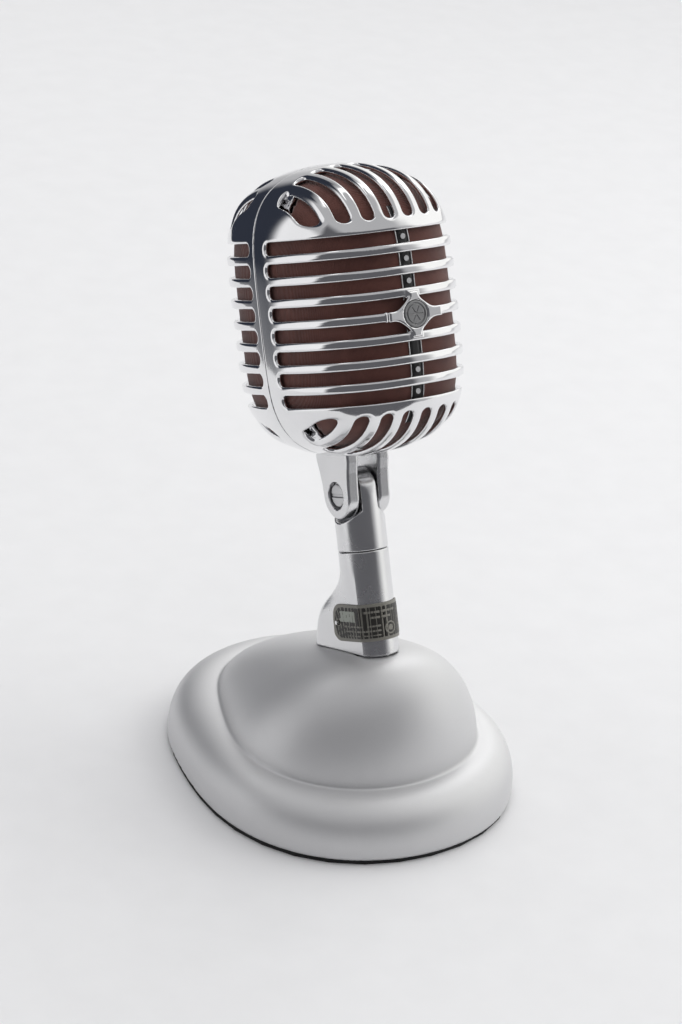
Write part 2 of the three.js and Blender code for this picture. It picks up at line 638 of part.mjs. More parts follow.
function buildYoke() {
  const py = PIVOT.y;
  const pz = PIVOT.z;
  // The ear is round below the bolt and widens upwards to its root in the head
  const earOutline = [
    ...arc(py, pz, EAR.radius, 190, 350, 10),
    [py + 10.9, pz + 5],
    [py + 12.2, pz + 10],
    [py + 13.6, pz + 15],
    [py + 13.6, -52],
    [py - 12.6, -52],
    [py - 12.6, pz + 15],
    [py - 11.4, pz + 10],
    [py - 10.7, pz + 5],
  ];
  const ears = [[-EAR.outer, -EAR.inner], [EAR.inner, EAR.outer]].map(([from, to]) => prism(earOutline, 'x', from, to));
  const plate = block([-19.5, 19.5], [-8.8, 20], [-58, -51.9]);
  const slab = common(plate, headSolid(WALL + GAP));
  mesh(head, 'yoke', cut(
    join(slab, ...ears),
    bar(3.3, 'x', -20, 20, [0, py, pz]),
    bar(6, 'x', -20, -8.2, [0, py, pz]),
    bar(6, 'x', 8.2, 20, [0, py, pz]),
    bar(2.5, 'z', -70, -40, [0, py, 0], 12),
    ...YOKE_SCREWS.map(([x, y]) => bar(1.7, 'z', -70, -40, [x, y, 0], 12)),
  ), satinMetal);
  YOKE_SCREWS.forEach(([x, y], i) => {
    mesh(head, `yoke_screw_${i + 1}`, screw({
      axis: 'z', face: -51.6, headRadius: 2.6, headLength: 1.6, shankRadius: 1.4, shankLength: 6.2, at: [x, y, 0],
    }), steel);
  });
  mesh(head, 'pivot_bolt', cut(
    join(bar(5, 'x', -10.3, -8.5, [0, py, pz]), bar(3, 'x', -9, 9.8, [0, py, pz])),
    block([-12, -9.6], [py - 6, py + 6], [pz - 0.6, pz + 0.6]),
  ), steel);
  mesh(head, 'pivot_nut', cut(
    bar(5.4, 'x', 8.5, 10.3, [0, py, pz], 6),
    bar(3.3, 'x', 0, 20, [0, py, pz]),
  ), steel);
}

// ---- Cartridge -------------------------------------------------------------------------------------

function buildCartridge() {
  const at = [0, 0, CARTRIDGE_Z];
  const ring = (outer, inner, from, to) => cut(bar(outer, 'y', from, to, at, 24), bar(inner, 'y', -80, 80, at, 20));

  const capHoles = [0, 60, 120, 180, 240, 300].map((degrees) => {
    const angle = THREE.MathUtils.degToRad(degrees);
    return bar(2.2, 'y', -80, 0, [10 * Math.cos(angle), 0, CARTRIDGE_Z + 10 * Math.sin(angle)], 10);
  });
  mesh(head, 'resonator_cap', cut(
    bar(22, 'y', -37, -31.6, at, 24),
    bar(18.3, 'y', -35.6, -20, at, 20),
    bar(3.5, 'y', -80, 0, at, 12),
    ...capHoles,
  ), darkSteel);
  mesh(head, 'diaphragm_ring', ring(22, 18.3, -31.3, -30.0), aluminiumTone);
  const dome = [[0, -34.2], [5, -33.7], [9, -32.6], [12, -31.2], [15, -31.9], [17.9, -31.2]];
  const skin = [...dome, ...dome.map(([r, y]) => [r, y + 0.35]).reverse()];
  mesh(head, 'diaphragm', new THREE.LatheGeometry(skin.map(([r, h]) => new THREE.Vector2(r, h)), 20)
    .translate(...at), mylar);
  mesh(head, 'voice_coil', ring(COIL_RADIUS + 0.1, COIL_RADIUS - 0.5, -30.5, -25.5), copper);
  mesh(head, 'front_plate', ring(22, COIL_RADIUS + 0.7, -29.7, -24.7), steel);
  mesh(head, 'pole_piece', bar(COIL_RADIUS - 1, 'y', -29.7, -22.3, at, 20), steel);
  mesh(head, 'magnet', bar(COIL_RADIUS, 'y', -22, -4, at, 20), darkSteel);
  mesh(head, 'magnet_cup', cut(bar(22, 'y', -24.4, 0.3, at, 24), bar(18, 'y', -40, -3.7, at, 20)), steel);
  mesh(head, 'rear_chamber', cut(
    bar(23, 'y', 0.6, 18.6, at, 24),
    bar(21.4, 'y', 0, 17, at, 20),
    bar(1.5, 'y', 10, 30, [0, 0, CARTRIDGE_Z + 12], 10),
  ), blackPlastic);
  mesh(head, 'shock_mount_ring', ring(28, 23.3, 2, 11.5), blackRubber);

  const arms = LUG_SPOTS.map(([x, z]) => {
    const [dx, dz] = [x, z - CARTRIDGE_Z];
    const length = Math.hypot(dx, dz);
    const [nx, nz] = [(-dz / length) * 4.2, (dx / length) * 4.2];
    const [sx, sz] = [(dx / length) * 26, CARTRIDGE_Z + (dz / length) * 26];
    const outline = [[sx + nx, sz + nz], [sx - nx, sz - nz], [x - nx, z - nz], [x + nx, z + nz]];
    return join(prism(outline, 'y', BRACKET.front, BRACKET.back), bar(4.2, 'y', BRACKET.front, BRACKET.back, [x, 0, z], 16));
  });
  const hoop = cut(bar(31.3, 'y', 2, BRACKET.back, at, 24), bar(28.4, 'y', 0, BRACKET.front, at, 24));
  mesh(head, 'cartridge_bracket', cut(
    common(join(hoop, ...arms), headSolid(CLOTH_OFFSET + 0.9)),
    bar(24, 'y', 0, 30, at, 20),
    ...LUG_SPOTS.map(([x, z]) => bar(1.8, 'y', 0, 30, [x, 0, z], 12)),
  ), steel);

  const coreZ = [-51.6, -33.6];
  mesh(head, 'transformer_core', cut(
    block([-11, 11], [3.5, 17], coreZ),
    block([3.5, 8], [0, 30], [-48, -37.2]),
    block([-8, -3.5], [0, 30], [-48, -37.2]),
  ), darkSteel);
  mesh(head, 'transformer_winding', cut(
    block([-7.7, 7.7], [0.8, 19.7], [-47.7, -37.5]),
    block([-3.8, 3.8], [3.2, 17.3], [-60, -30]),
  ), copper);
  mesh(head, 'cartridge_lead_1', wire([
    [-1.6, 19.4, 13.6], [-2.2, 23, 6], [-2.6, 24, -12], [-3, 23, -30], [-3, 20.6, -42],
  ], 0.7), wireRed);
  mesh(head, 'cartridge_lead_2', wire([
    [1.6, 19.4, 13.6], [2.2, 23, 6], [2.6, 24, -12], [3, 23, -30], [3, 20.6, -42],
  ], 0.7), wireBlack);
}

buildStand();
buildStem();
buildShells();
buildYoke();
buildCartridge();

const assembly = new THREE.Group();
assembly.name = 'desk_microphone';
assembly.add(stand, microphone);
export default assembly;
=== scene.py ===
"""Looks of the desk microphone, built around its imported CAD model."""

import json
import math

import bpy
import numpy as np
from mathutils import Matrix, Vector


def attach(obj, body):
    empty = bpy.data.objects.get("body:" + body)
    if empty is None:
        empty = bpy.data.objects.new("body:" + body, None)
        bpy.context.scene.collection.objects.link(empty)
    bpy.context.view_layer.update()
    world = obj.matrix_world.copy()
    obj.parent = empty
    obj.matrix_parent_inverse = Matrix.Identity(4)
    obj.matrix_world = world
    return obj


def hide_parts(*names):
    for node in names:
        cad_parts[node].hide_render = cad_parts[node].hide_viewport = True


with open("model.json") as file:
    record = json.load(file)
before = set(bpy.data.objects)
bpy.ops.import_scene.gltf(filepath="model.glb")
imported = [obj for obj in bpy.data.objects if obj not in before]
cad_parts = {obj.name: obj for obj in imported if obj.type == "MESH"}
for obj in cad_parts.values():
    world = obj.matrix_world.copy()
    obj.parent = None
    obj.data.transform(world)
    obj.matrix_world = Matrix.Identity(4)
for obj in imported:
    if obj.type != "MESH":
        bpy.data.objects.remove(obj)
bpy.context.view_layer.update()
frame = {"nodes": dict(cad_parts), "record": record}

MM = 0.001

# Dimensions in millimetres, the same as the CAD model's
LEAN = math.radians(23.6)
SEAT = Vector((0, -28.8, 68.7))
HEAD_CENTRE = Vector((0, -6.3, 149.0))
STEM_RADIUS = 11.0
RING_SEAM = 46.3
PIVOT_HEIGHT = 71.2
HALF_X, HALF_Y, TOP, BOTTOM = 41.5, 56.0, 65.0, 61.0
PLAN_POWER, TOP_POWER, BOTTOM_POWER = 2.4, 5.0, 4.6
WALL = 2.4
CLOTH_OFFSET = 3.0
STRIP_OFFSET = 2.5
SEAM = 0.8
PITCH, SLOT_HALF, SLOT_FRONT, SLOT_REAR = 9.27, 2.6, -7.8, 5.5
RIB_PITCH, RIB_HALF, RIB_TOP, RIB_BOTTOM, RIB_END = 9.1, 2.8, 40.6, -40.2, 12.0
LUG_X, LUG_TOP, LUG_BOTTOM, LUG_RADIUS = 28.4, 47.8, -43.2, 3.8
PIVOT_RADIUS = 3.3  # of the hole that the tilt bolt passes through
BORE_RADIUS, SPIGOT_RADIUS = 8.2, 7.9
TONGUE_HALF, TONGUE_RADIUS, NOTCH_RADIUS = 4.0, 11.2, 12.0
SOCKET_RADIUS, SOCKET_HEIGHT, SOCKET_FLOOR = 7.6, 14.5, 11.0
EAR_INNER, EAR_OUTER, EAR_RADIUS = 4.95, 10.9, 10.4
YOKE_TOP, YOKE_BOTTOM = -51.9, -58.0
BADGE_FRONT, BADGE_BACK, BADGE_RADIUS = -56.9, -55.7, 5.6
BOSS_FRONT, BOSS_BACK, BOSS_RADIUS = -57.0, -53.75, 6.7
STRIP_HALF = 2.7
# Cosine terms, in order, of the radius of the base's outlines about the stand's axis
RIM = (78.8, 8.7, 5.8, -0.6, -1.6)
CREASE = (59.1, 9.1, 5.4, -2.2, -0.8)
DOME_Y, DOME_TOP, DOME_SLOPE = -31.9, 69.9, math.tan(math.radians(13.3))
DOME_POWER, DOME_ROOT = 2.5, 1.55
FLANGE_BASE, FLANGE_TOP, FLANGE_POWER = 2.3, 25.6, 2.7
BASE_WALL, PLATE_REBATE, PLATE_TOP = 4.5, 2.7, 5.9
STEM_BOSS_RADIUS, STEM_BOSS_LOW, STEM_BOSS_HIGH, STEM_HOLE_RADIUS = 15.0, -24.0, 6.0, 9.6

STEM = Matrix.Translation(SEAT) @ Matrix.Rotation(-LEAN, 4, "X")
HEAD = STEM @ Matrix.Translation(HEAD_CENTRE)
STAND = Matrix.Identity(4)


# ---- Implicit shapes: each field is negative inside, in millimetres --------------------------------


def soft_max(a, b, k):
    """The larger of a and b, rounded where they meet over a width k."""
    h = np.maximum(k - np.abs(a - b), 0) / k
    return np.maximum(a, b) + h * h * k / 4


def soft_min(a, b, k):
    return -soft_max(-a, -b, k)


def tube(a, b, radius):
    return np.hypot(a, b) - radius


def slab(v, low, high):
    return np.maximum(low - v, v - high)


def rounded_corner(a, b, r):
    """Intersection of two half spaces with a corner of radius r."""
    inner = np.minimum(np.maximum(a + r, b + r), 0)
    return np.hypot(np.maximum(a + r, 0), np.maximum(b + r, 0)) - r + inner


def gradient(field, p, step=0.04):
    g = np.empty_like(p)
    for axis in range(3):
        d = np.zeros(3)
        d[axis] = step
        g[:, axis] = (field(*(p + d).T) - field(*(p - d).T)) / (2 * step)
    return g


def spaced(field, step=0.05):
    """A field that isn't a distance, divided by its slope so that it is nearly one."""

    def result(x, y, z):
        g2 = 0
        for axis in range(3):
            d = [0, 0, 0]
            d[axis] = step
            hi = field(x + d[0], y + d[1], z + d[2])
            lo = field(x - d[0], y - d[1], z - d[2])
            g2 = g2 + ((hi - lo) / (2 * step)) ** 2
        return field(x, y, z) / np.sqrt(g2 + 1e-9)

    return result


def net(field, low, high, step):
    """Vertices, quads and normals of the surface field = 0 inside a box."""
    axes = [np.arange(lo - 1.5 * step, hi + 2.5 * step, step) for lo, hi in zip(low, high)]
    grid = np.meshgrid(*axes, indexing="ij", sparse=False)
    values = np.empty(grid[0].shape, np.float32)
    for i in range(0, values.shape[0], 16):
        values[i : i + 16] = field(*(g[i : i + 16] for g in grid))
    inside = values < 0
    nx, ny, nz = inside.shape
    corners = [(i, j, k) for i in (0, 1) for j in (0, 1) for k in (0, 1)]

    def part(array, i, j, k):
        return array[i : nx - 1 + i, j : ny - 1 + j, k : nz - 1 + k]

    count = sum(part(inside, *c).astype(np.int8) for c in corners)
    cells = np.argwhere((count > 0) & (count < 8))
    index = np.full((nx - 1, ny - 1, nz - 1), -1, np.int64)
    index[tuple(cells.T)] = np.arange(len(cells))
    total = np.zeros((len(cells), 3))
    hits = np.zeros(len(cells))
    for a in corners:
        for b in corners:
            if sum(b) != sum(a) + 1 or any(q < p for p, q in zip(a, b)):
                continue
            va = values[tuple((cells + a).T)].astype(float)
            vb = values[tuple((cells + b).T)].astype(float)
            crossing = (va < 0) != (vb < 0)
            share = np.where(crossing, va / np.where(crossing, va - vb, 1), 0)
            point = np.array(a) + share[:, None] * (np.array(b) - np.array(a))
            total += np.where(crossing[:, None], point, 0)
            hits += crossing
    start = np.array([axis[0] for axis in axes])
    points = start + (cells + total / hits[:, None]) * step
    quads = []
    for axis in range(3):
        u, v = (axis + 1) % 3, (axis + 2) % 3
        first = [slice(0, n) for n in inside.shape]
        second = list(first)
        first[axis] = slice(0, inside.shape[axis] - 1)
        second[axis] = slice(1, inside.shape[axis])
        a, b = inside[tuple(first)], inside[tuple(second)]
        for flip, edge in ((False, a & ~b), (True, ~a & b)):
            e = np.argwhere(edge)
            keep = (e[:, u] > 0) & (e[:, v] > 0)
            keep &= (e[:, u] < inside.shape[u] - 1) & (e[:, v] < inside.shape[v] - 1)
            e = e[keep]
            ring = []
            for du, dv in ((1, 1), (0, 1), (0, 0), (1, 0)):
                c = e.copy()
                c[:, u] -= du
                c[:, v] -= dv
                ring.append(index[tuple(c.T)])
            quad = np.stack(ring, 1)
            quads.append(quad[:, ::-1] if flip else quad)
    quads = np.concatenate(quads)
    for _ in range(4):
        f = field(*points.T)
        g = gradient(field, points)
        move = (f / np.maximum((g * g).sum(1), 0.05))[:, None] * g
        size = np.linalg.norm(move, axis=1, keepdims=True)
        points = points - move * np.minimum(1, 0.5 * step / np.maximum(size, 1e-9))
    normals = gradient(field, points)
    normals /= np.maximum(np.linalg.norm(normals, axis=1, keepdims=True), 1e-9)
    return points, quads, normals


def add_mesh(name, points, faces, normals, place, body, material, slot, nodes):
    """A mesh in millimetres becomes a piece in the row frame that rides on a body."""
    rotation = np.array(place.to_3x3())
    shift = np.array(place.translation)
    world = (points @ rotation.T + shift) * MM
    mesh = bpy.data.meshes.new(name)
    mesh.from_pydata(world.tolist(), [], faces.tolist())
    mesh.validate()
    mesh.update()
    mesh.shade_smooth()
    if normals is not None:
        mesh.normals_split_custom_set_from_vertices((normals @ rotation.T).tolist())
    piece = bpy.data.objects.new(name, mesh)
    bpy.context.scene.collection.objects.link(piece)
    mesh.materials.append(material)
    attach(piece, body)
    if nodes:
        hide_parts(*nodes)
    return piece


def add_solid(name, field, low, high, step, place, body, slot, nodes=(), look=None):
    points, quads, normals = net(field, low, high, step)
    material = MATERIALS[look or slot]
    return add_mesh(name, points, quads, normals, place, body, material, slot, nodes)


# ---- Materials -------------------------------------------------------------------------------------


class Nodes:
    """A small writer of material nodes."""

    def __init__(self, name):
        self.material = bpy.data.materials.new(name)
        self.material.use_nodes = True
        self.tree = self.material.node_tree
        self.shader = self.tree.nodes["Principled BSDF"]
        self.place = self.add("ShaderNodeTexCoord").outputs["Object"]

    def add(self, kind, **values):
        node = self.tree.nodes.new(kind)
        for key, value in values.items():
            if hasattr(node, key):
                setattr(node, key, value)
            else:
                node.inputs[key.replace("_", " ")].default_value = value
        return node

    def link(self, a, b):
        self.tree.links.new(a, b)

    def scaled(self, scale):
        mapping = self.add("ShaderNodeMapping")
        mapping.inputs["Scale"].default_value = scale
        self.link(self.place, mapping.inputs["Vector"])
        return mapping.outputs["Vector"]

    def noise(self, scale, detail=4.0, stretch=(1, 1, 1)):
        node = self.add("ShaderNodeTexNoise")
        node.inputs["Scale"].default_value = scale
        node.inputs["Detail"].default_value = detail
        self.link(self.scaled(stretch), node.inputs["Vector"])
        return node.outputs["Fac"]

    def ramp(self, value, stops):
        node = self.add("ShaderNodeValToRGB")
        elements = node.color_ramp.elements
        while len(elements) < len(stops):
            elements.new(0.5)
        for element, (place, colour) in zip(elements, stops):
            element.position = place
            element.color = (*colour, 1) if len(colour) == 3 else colour
        self.link(value, node.inputs["Fac"])
        return node.outputs["Color"]

    def spread(self, value, low, high):
        node = self.add("ShaderNodeMapRange")
        node.inputs["From Min"].default_value = 0.3
        node.inputs["From Max"].default_value = 0.7
        node.inputs["To Min"].default_value = low
        node.inputs["To Max"].default_value = high
        self.link(value, node.inputs["Value"])
        return node.outputs["Result"]

    def bump(self, height, strength, distance):
        node = self.add("ShaderNodeBump")
        node.inputs["Strength"].default_value = strength
        node.inputs["Distance"].default_value = distance
        self.link(height, node.inputs["Height"])
        self.link(node.outputs["Normal"], self.shader.inputs["Normal"])
        return node

    def set(self, **values):
        for key, value in values.items():
            self.shader.inputs[key.replace("_", " ")].default_value = value


def metal(name, low, high, rough, grain=900.0, stretch=(1, 1, 1), bump=0.02):
    n = Nodes(name)
    tone = n.noise(35.0, 3.0)
    n.link(n.ramp(tone, [(0.3, low), (0.7, high)]), n.shader.inputs["Base Color"])
    n.link(n.spread(n.noise(60.0, 5.0), *rough), n.shader.inputs["Roughness"])
    n.set(Metallic=1.0)
    n.bump(n.noise(grain, 2.0, stretch), bump, 0.0002)
    return n.material


def grey(v):
    return (v, v, v * 1.01)


def paint():
    n = Nodes("satin_silver_paint")
    tone = n.noise(14.0, 3.0)
    n.link(n.ramp(tone, [(0.3, grey(0.66)), (0.7, grey(0.70))]), n.shader.inputs["Base Color"])
    flakes = n.noise(1800.0, 2.0)
    n.link(n.spread(flakes, 0.42, 0.52), n.shader.inputs["Roughness"])
    n.set(Metallic=0.62)
    n.bump(flakes, 0.12, 0.0002)
    return n.material


def cloth():
    n = Nodes("red_brown_silk")
    tone = n.noise(90.0, 4.0)
    colours = [(0.3, (0.105, 0.036, 0.028)), (0.7, (0.16, 0.058, 0.044))]
    n.link(n.ramp(tone, colours), n.shader.inputs["Base Color"])
    waves = []
    for direction in ("X", "Z"):
        wave = n.add("ShaderNodeTexWave")
        wave.bands_direction = direction
        wave.inputs["Scale"].default_value = 700.0
        wave.inputs["Distortion"].default_value = 1.5
        n.link(n.place, wave.inputs["Vector"])
        waves.append(wave.outputs["Fac"])
    both = n.add("ShaderNodeMath")
    both.operation = "MULTIPLY"
    n.link(waves[0], both.inputs[0])
    n.link(waves[1], both.inputs[1])
    n.bump(both.outputs[0], 0.5, 0.0003)
    n.set(Roughness=0.75, Sheen_Weight=0.4, Sheen_Roughness=0.4)
    return n.material


def plain(name, low, high, rough, grain=400.0, bump=0.1):
    n = Nodes(name)
    n.link(n.ramp(n.noise(50.0), [(0.3, low), (0.7, high)]), n.shader.inputs["Base Color"])
    n.link(n.spread(n.noise(120.0), *rough), n.shader.inputs["Roughness"])
    n.bump(n.noise(grain, 3.0), bump, 0.0002)
    return n.material


MATERIALS = {
    "bright_chrome": metal("polished_chrome", grey(0.80), grey(0.86), (0.06, 0.1), 300.0, bump=0.01),
    "satin_nickel": metal("satin_nickel", grey(0.70), grey(0.76), (0.2, 0.3), 500.0, (8, 8, 1), 0.05),
    "silver_paint": paint(),
    "plain_steel": metal("plain_steel", grey(0.5), grey(0.6), (0.3, 0.42)),
    # Near-black dark_steel: on the centre strip it is a painted dark reflection, standing in for the dark
    # room that the strip's chrome would mirror
    "dark_steel": plain("dark_steel", (0.012, 0.012, 0.013), (0.025, 0.025, 0.026), (0.35, 0.5)),
    "ring_aluminium": metal("machined_aluminium", grey(0.6), grey(0.68), (0.3, 0.4)),
    "copper_wire": metal("enamelled_copper", (0.5, 0.2, 0.1), (0.62, 0.28, 0.14), (0.3, 0.4)),
    "pin_brass": metal("turned_brass", (0.6, 0.42, 0.16), (0.7, 0.5, 0.2), (0.2, 0.3)),
    "plate_black": plain("etched_plate", (0.016, 0.015, 0.013), (0.035, 0.033, 0.029), (0.3, 0.45)),
    "plate_edge": plain("worn_plate", (0.17, 0.165, 0.145), (0.25, 0.24, 0.21), (0.3, 0.4), 700.0, 0.2),
    "plate_window": plain("worn_window", (0.30, 0.32, 0.28), (0.36, 0.38, 0.34), (0.3, 0.4)),
    "badge_nickel": metal("darkened_nickel", grey(0.34), grey(0.44), (0.25, 0.35)),
    "silk": cloth(),
    "film": plain("pressed_film", (0.6, 0.58, 0.46), (0.7, 0.68, 0.56), (0.25, 0.35)),
    "black_insulator": plain("black_insulator", grey(0.012), grey(0.02), (0.2, 0.3)),
    "soft_rubber": plain("soft_rubber", grey(0.02), grey(0.03), (0.7, 0.85)),
    "pad": plain("black_felt", grey(0.012), grey(0.03), (0.9, 1.0), 900.0, 0.6),
    "lead_black": plain("black_wire", grey(0.015), grey(0.025), (0.4, 0.5)),
    "lead_red": plain("red_wire", (0.3, 0.02, 0.015), (0.38, 0.03, 0.02), (0.4, 0.5)),
}
for entry in frame["record"]["subparts"]:
    node = frame["nodes"][entry["node"]]
    node.data.materials.clear()
    node.data.materials.append(MATERIALS[entry["material_slot"]])


# ---- Stand -----------------------------------------------------------------------------------------


def egg(terms, angle):
    return sum(term * np.cos(k * angle) for k, term in enumerate(terms))


def flange_field(x, y, z):
    angle = np.arctan2(x, -y)
    crease, rim = egg(CREASE, angle), egg(RIM, angle)
    out = np.maximum(np.hypot(x, y) - crease, 0) / (rim - crease)
    up = np.maximum(z - FLANGE_BASE, 0) / (FLANGE_TOP - FLANGE_BASE)
    return (out**FLANGE_POWER + up**FLANGE_POWER + 1e-9) ** (1 / FLANGE_POWER) - 1


def dome_field(x, y, z):
    dx, dy = x, y - DOME_Y
    distance = np.hypot(dx, dy) + 1e-6
    # The crease's radius from the dome's own centre, in this direction
    reach = np.full_like(distance, 60.0)
    for _ in range(6):
        px, py = dx / distance * reach, DOME_Y + dy / distance * reach
        reach = reach * egg(CREASE, np.arctan2(px, -py)) / np.hypot(px, py)
    share = distance / reach
    crown = DOME_TOP - DOME_SLOPE * (y - SEAT.y)
    up = np.maximum(z - FLANGE_TOP, 0) / np.maximum(crown - FLANGE_TOP, 5)
    return share**DOME_POWER + up**DOME_ROOT - 1


flange_distance = spaced(flange_field)
dome_distance = spaced(dome_field)


def to_stem(x, y, z):
    c, s = math.cos(LEAN), math.sin(LEAN)
    dy, dz = y - SEAT.y, z - SEAT.z
    return x, dy * c - dz * s, dy * s + dz * c


def stand_surface(x, y, z):
    return soft_min(flange_distance(x, y, z), dome_distance(x, y, z), 1.5)


def casting(x, y, z):
    skin = stand_surface(x, y, z)
    angle = np.arctan2(x, -y)
    rebate = np.maximum(np.hypot(x, y) - egg(RIM, angle) + PLATE_REBATE, z - PLATE_TOP)
    hollow = np.minimum(skin + BASE_WALL, rebate)
    sx, sy, sz = to_stem(x, y, z)
    boss = np.maximum(tube(sx, sy, STEM_BOSS_RADIUS), slab(sz, STEM_BOSS_LOW, STEM_BOSS_HIGH))
    body = np.maximum(skin, -np.maximum(hollow, -boss))
    body = soft_max(body, FLANGE_BASE - z, 0.8)
    body = soft_max(body, -np.maximum(tube(sx, sy, STEM_HOLE_RADIUS), -3.0 - sz), 0.6)
    return np.maximum(body, -np.maximum(tube(sx, sy, BORE_RADIUS), sz - 2.0))


BASE_STEP = 1.2
add_solid("base_body", casting, (-74, -92, FLANGE_BASE), (74, 76, 72), BASE_STEP, STAND, "stand",
          "silver_paint", ["base_casting"])


# ---- Stem ------------------------------------------------------------------------------------------

# Height; then the section's reach to the back, half width, corner radius and share of a plain circle
LEVELS = np.array([
    (-4, 30.2, 14.7, 6, 0),
    (4, 29.0, 14.3, 6, 0),
    (16.5, 26.0, 13.3, 6, 0),
    (22.5, 24.0, 12.8, 6.2, 0.1),
    (27, 20.3, 12.3, 7, 0.3),
    (31, 16.8, 11.8, 8, 0.5),
    (34.7, 13.8, 11.4, 9, 0.75),
    (38.8, 11.0, 11.0, 11, 1),
    (60, 11.0, 11.0, 11, 1),
])
FRONT_ARC = math.radians(59)
NOSE_X = STEM_RADIUS * math.sin(FRONT_ARC)
NOSE_Y = -STEM_RADIUS * math.cos(FRONT_ARC)


def smooth_level(z, column):
    """A level's value at a height, smoothed over a few millimetres."""
    offsets = (-2.4, -1.2, 0.0, 1.2, 2.4)
    return sum(np.interp(z + d, LEVELS[:, 0], LEVELS[:, column]) for d in offsets) / len(offsets)


def housing_section(x, y, z):
    back, half, corner, circle = (smooth_level(z, c) for c in (1, 2, 3, 4))
    side_x, side_y = half, back - corner
    run_x, run_y = side_x - NOSE_X, side_y - NOSE_Y
    length = np.hypot(run_x, run_y)
    side = ((np.abs(x) - NOSE_X) * run_y - (y - NOSE_Y) * run_x) / length
    flat = rounded_corner(side, y - back, corner)
    round_ = np.hypot(x, y) - STEM_RADIUS
    behind = np.where(circle > 0.999, round_, flat + (round_ - flat) * circle)
    in_front = np.arctan2(np.abs(x), -y) < FRONT_ARC
    return np.where(in_front, round_, behind)


def stem_to_stand(x, y, z):
    c, s = math.cos(LEAN), math.sin(LEAN)
    return x, SEAT.y + y * c + z * s, SEAT.z - y * s + z * c


def housing(x, y, z):
    body = soft_max(housing_section(x, y, z), z - (RING_SEAM - 0.15), 0.6)
    skirt = (0.3 + 0.115 * (y + 6.9)) - z
    body = soft_max(body, skirt, 0.5)
    body = np.maximum(body, 0.3 - dome_distance(*stem_to_stand(x, y, z)))
    body = np.minimum(body, np.maximum(tube(x, y, 9.0), slab(z, -0.9, 4.0)))
    body = np.maximum(body, -np.maximum(tube(x, y, BORE_RADIUS), z - 14.0))
    body = np.maximum(body, -np.maximum(tube(x, y, BORE_RADIUS), 30.0 - z))
    socket = np.maximum(tube(x, z - SOCKET_HEIGHT, SOCKET_RADIUS), SOCKET_FLOOR - y)
    return soft_max(body, -socket, 0.6)


add_solid("stem_housing", housing, (-15, -12, -1), (15, 31, 47), 0.5, STEM, "stand", "satin_nickel",
          ["connector_housing"])


def post(x, y, z):
    above = z - PIVOT_HEIGHT
    tongue = np.abs(x) - TONGUE_HALF
    notch = np.hypot(y, above) - NOTCH_RADIUS
    shoulder = soft_max(above + 4, -notch, 0.8)
    body = tube(x, y, STEM_RADIUS)
    top = np.where(z > PIVOT_HEIGHT, np.hypot(y, above) - TONGUE_RADIUS, -5.0)
    body = soft_max(body, top, 0.6)
    upper = soft_min(tongue, shoulder, 1.0)
    body = soft_max(body, upper, 0.8)
    body = soft_max(body, RING_SEAM + 0.15 - z, 0.6)
    spigot = np.maximum(tube(x, y, SPIGOT_RADIUS), slab(z, 32.0, 48.0))
    body = np.minimum(body, spigot)
    body = np.maximum(body, -np.maximum(tube(x, y, 5.0), z - 55.0))
    return soft_max(body, -tube(y, above, PIVOT_RADIUS), 0.3)


add_solid("stem_post", post, (-11.5, -11.5, 31), (11.5, 11.5, 83), 0.5, STEM, "stand", "satin_nickel",
          ["swivel_post"])


# ---- Head shells -----------------------------------------------------------------------------------


def head_distance(x, y, z):
    """Distance from the head's outer surface, negative inside."""
    ax, ay = np.abs(x) / HALF_X + 1e-6, np.abs(y) / HALF_Y + 1e-6
    up = z > 0
    height = np.where(up, TOP, BOTTOM)
    power = np.where(up, TOP_POWER, BOTTOM_POWER)
    t = np.abs(z) / height + 1e-6
    plan = ax**PLAN_POWER + ay**PLAN_POWER
    rho = plan ** (1 / PLAN_POWER)
    level = rho**2 + t**power - 1
    common = 2 * rho * plan ** (1 / PLAN_POWER - 1)
    gx = common * ax ** (PLAN_POWER - 1) / HALF_X
    gy = common * ay ** (PLAN_POWER - 1) / HALF_Y
    gz = power * t ** (power - 1) / height
    return level / np.sqrt(gx**2 + gy**2 + gz**2 + 1e-7)


def bar_slots(y, z, side):
    """The eight long slots of one shell; side is -1 for the front and 1 for the rear."""
    place = np.clip(np.floor(z / PITCH) + 0.5, -3.5, 3.5) * PITCH
    end = SLOT_FRONT - SLOT_HALF if side < 0 else SLOT_REAR + SLOT_HALF
    return np.hypot(np.maximum(side * (end - y), 0), z - place) - SLOT_HALF


def rib_slots(x, y, z, side):
    """The eight slots over the shoulder and the eight under the chin of one shell."""
    off = x - np.clip(np.floor(x / RIB_PITCH) + 0.5, -3.5, 3.5) * RIB_PITCH
    run = np.hypot(np.maximum(RIB_END + RIB_HALF - side * y, 0), off) - RIB_HALF
    drop_top = np.hypot(np.maximum(RIB_TOP + RIB_HALF - z, 0), off) - RIB_HALF
    drop_low = np.hypot(np.maximum(z - (RIB_BOTTOM - RIB_HALF), 0), off) - RIB_HALF
    return np.minimum(soft_max(run, drop_top, 1.0), soft_max(run, drop_low, 1.0))


